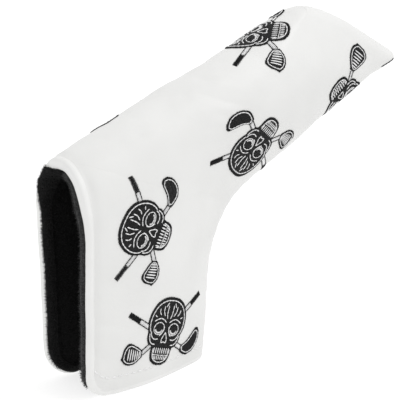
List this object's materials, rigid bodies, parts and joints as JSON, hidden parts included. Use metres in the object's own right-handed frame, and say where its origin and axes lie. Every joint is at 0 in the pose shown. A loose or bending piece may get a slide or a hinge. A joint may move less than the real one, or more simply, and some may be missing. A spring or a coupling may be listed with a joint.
{
  "type": "putter head cover",
  "caption": "Padded slip-on cover for a blade putter head, with an open heel slot and two magnetic neck flaps, white outside and plush inside.",
  "frame": {"origin": "middle of the cover's bounding box, on the surface that the neck stands on", "axes": "+X from the open heel slot to the toe, +Y across the thickness, +Z from the neck's bottom edge up to the ridge"},
  "size_m": [0.1615, 0.042, 0.1394],
  "materials": {
    "white_leather": "satin",
    "black_plush": "matte",
    "foam": "matte",
    "thread": "satin",
    "tape": "matte",
    "pouch_cloth": "matte",
    "magnet": "polished"
  },
  "bodies": {
    "body": {"body_embroidery": "thread", "body_foam": "foam", "body_hem": "white_leather", "body_leather": "white_leather", "body_lining": "black_plush", "body_lip": "white_leather", "body_plush_band": "black_plush", "seam_tape": "tape"},
    "near_flap": {"near_flap_embroidery": "thread", "near_flap_foam": "foam", "near_flap_hem": "white_leather", "near_flap_leather": "white_leather", "near_flap_lining": "black_plush", "near_flap_lip": "white_leather", "near_flap_magnet_pouch": "pouch_cloth", "near_flap_magnets": "magnet", "near_flap_plush_band": "black_plush"},
    "far_flap": {"far_flap_embroidery": "thread", "far_flap_foam": "foam", "far_flap_hem": "white_leather", "far_flap_leather": "white_leather", "far_flap_lining": "black_plush", "far_flap_lip": "white_leather", "far_flap_magnet_pouch": "pouch_cloth", "far_flap_magnets": "magnet", "far_flap_plush_band": "black_plush"}
  },
  "joints": [
    {"name": "near_fold", "type": "hinge", "parent": "body", "child": "near_flap", "pos_m": [-0.07775, -0.0185, 0.072], "axis": [-0.5663, -0.1189, 0.8155], "range_deg": [-11, 30], "stiffness_Nm_per_rad": 0.4},
    {"name": "far_fold", "type": "hinge", "parent": "body", "child": "far_flap", "pos_m": [-0.07775, 0.0185, 0.072], "axis": [0.5663, -0.1189, -0.8155], "range_deg": [-11, 30], "stiffness_Nm_per_rad": 0.4}
  ]
}
